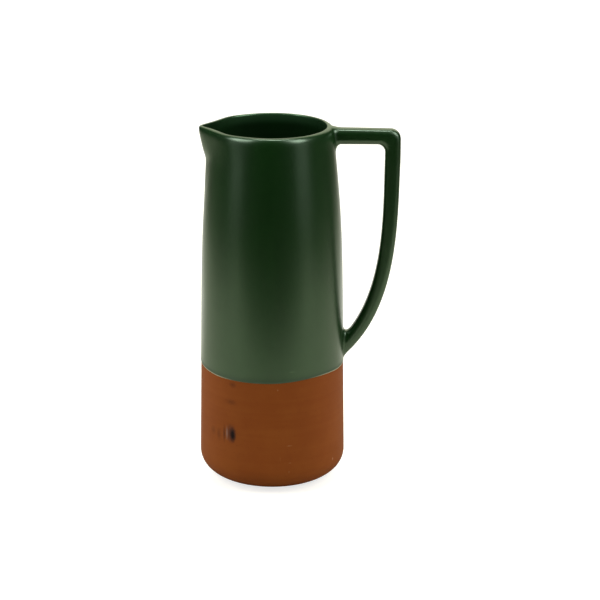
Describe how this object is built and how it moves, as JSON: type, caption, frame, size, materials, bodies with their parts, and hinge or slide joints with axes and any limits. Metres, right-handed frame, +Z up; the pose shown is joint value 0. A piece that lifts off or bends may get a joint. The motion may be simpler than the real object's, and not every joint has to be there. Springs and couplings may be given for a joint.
{
  "type": "terracotta pitcher",
  "caption": "Tall slim earthenware pitcher with a pulled beak spout, a square-cornered D handle and a satin green glaze dipped over bare terracotta.",
  "frame": {"origin": "centre of the flat base, on the axis of the vessel, on the surface that the pitcher stands on", "axes": "+Z up along the axis of the vessel, the spout along -X, the handle along +X"},
  "size_m": [0.1372, 0.1004, 0.2487],
  "materials": {
    "terracotta": "bare fired terracotta, matt, with a few rubbed marks",
    "handle_clay": "fired terracotta under the glaze",
    "slip": "fired luting slip, smoothed with a sponge",
    "green_glaze": "satin dark green glaze",
    "lining_glaze": "satin to glossy dark green lining glaze"
  },
  "bodies": {
    "root": {"vessel_body": "terracotta", "handle": "handle_clay", "upper_joint_slip": "slip", "lower_joint_slip": "slip", "outer_glaze": "green_glaze", "inner_glaze": "lining_glaze"}
  },
  "joints": []
}
